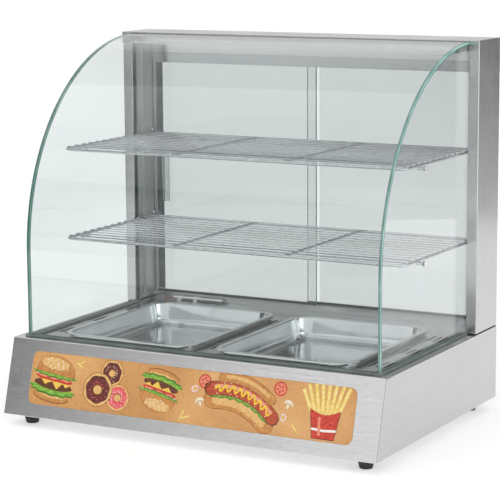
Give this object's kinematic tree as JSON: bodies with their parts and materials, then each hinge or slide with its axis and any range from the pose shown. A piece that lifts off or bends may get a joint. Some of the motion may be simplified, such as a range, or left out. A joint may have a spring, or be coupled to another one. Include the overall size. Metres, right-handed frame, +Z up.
{
  "type": "hot food display case",
  "caption": "Countertop heated display case: sloped steel base with two food pans, bent glass canopy over two wire shelves, sliding glass rear doors, rear thermostat and switches.",
  "frame": {"origin": "centre of the overall footprint, on the surface that the feet stand on", "axes": "+X along the case's width, towards the right side seen by the customer; +Y from the customer's side towards the doors; +Z up"},
  "size_m": [0.66, 0.484, 0.609],
  "materials": {
    "brushed_steel": "fine brushed grain along the sheet",
    "polished_steel": "polished, soft reflections",
    "pan_steel": "bright pressed stainless",
    "chrome_wire": "bright plated wire",
    "canopy_glass": "clear, green at the cut edges",
    "door_glass": "clear, faint blue-green",
    "picture": "printed acrylic, gloss",
    "black_rubber": "matt",
    "grey_rubber": "dark grey-green, satin",
    "track_aluminium": "bright anodised extrusion",
    "black_plastic": "fine moulded grain",
    "red_plastic": "gloss, translucent",
    "dial_white": "printed dial ring",
    "ceramic": "ceramic, satin",
    "heater_steel": "oxidised tube",
    "copper": "drawn tube",
    "lamp_glass": "white coated tube",
    "screw_zinc": "zinc plated"
  },
  "bodies": {
    "root": {"front_fascia": "brushed_steel", "side_panel_left": "brushed_steel", "side_panel_right": "brushed_steel", "back_panel": "brushed_steel", "bottom_plate": "brushed_steel", "deck": "brushed_steel", "heat_box": "brushed_steel", "picture_panel": "picture", "picture_clips": "brushed_steel", "feet": "black_rubber", "foot_screws": "screw_zinc", "panel_screws": "screw_zinc", "heater_left": "heater_steel", "heater_right": "heater_steel", "heater_brackets": "brushed_steel", "thermostat_body": "ceramic", "sensor_bulb": "polished_steel", "sensor_clips": "polished_steel", "capillary_tube": "copper", "dial_plate": "dial_white", "power_switch_housing": "black_plastic", "light_switch_housing": "black_plastic", "indicator_lamp": "red_plastic", "cable_gland": "black_plastic", "gland_nut": "black_plastic", "terminal_block": "ceramic", "post_left": "brushed_steel", "post_right": "brushed_steel", "post_gaskets": "black_rubber", "glass_channel_left": "polished_steel", "glass_channel_right": "polished_steel", "hood": "brushed_steel", "hood_liner": "polished_steel", "front_beam": "brushed_steel", "side_glass_left": "canopy_glass", "side_glass_right": "canopy_glass", "front_glass": "canopy_glass", "front_gasket": "grey_rubber", "side_gasket_left": "grey_rubber", "side_gasket_right": "grey_rubber", "glass_clips": "grey_rubber", "top_door_track": "track_aluminium", "bottom_door_track": "track_aluminium", "door_jambs": "track_aluminium", "shelf_upper": "chrome_wire", "shelf_lower": "chrome_wire", "shelf_studs": "polished_steel", "shelf_pins": "polished_steel", "lamp_tube": "lamp_glass", "lamp_holders": "ceramic"},
    "pan_left": {"pan_left": "pan_steel"},
    "pan_right": {"pan_right": "pan_steel"},
    "door_left": {"door_left": "door_glass", "door_pull_left": "door_glass"},
    "door_right": {"door_right": "door_glass", "door_pull_right": "door_glass"},
    "thermostat_knob": {"thermostat_knob": "black_plastic", "thermostat_shaft": "polished_steel"},
    "power_rocker": {"power_switch_rocker": "red_plastic"},
    "light_rocker": {"light_switch_rocker": "black_plastic"}
  },
  "joints": [
    {"name": "pan_left_lift", "type": "slide", "parent": "root", "child": "pan_left", "axis": [0, 0, 1], "range_m": [0, 0.1]},
    {"name": "pan_right_lift", "type": "slide", "parent": "root", "child": "pan_right", "axis": [0, 0, 1], "range_m": [0, 0.1]},
    {"name": "door_left_slide", "type": "slide", "parent": "root", "child": "door_left", "axis": [1, 0, 0], "range_m": [0, 0.285]},
    {"name": "door_right_slide", "type": "slide", "parent": "root", "child": "door_right", "axis": [-1, 0, 0], "range_m": [0, 0.285]},
    {"name": "thermostat_turn", "type": "hinge", "parent": "root", "child": "thermostat_knob", "pos_m": [-0.178, 0.222, 0.078], "axis": [0, -1, 0], "range_deg": [0, 270]},
    {"name": "power_rocker_tilt", "type": "hinge", "parent": "root", "child": "power_rocker", "pos_m": [-0.245, 0.222, 0.078], "axis": [1, 0, 0], "range_deg": [0, 18]},
    {"name": "light_rocker_tilt", "type": "hinge", "parent": "root", "child": "light_rocker", "pos_m": [-0.281, 0.222, 0.078], "axis": [1, 0, 0], "range_deg": [0, 18]}
  ]
}
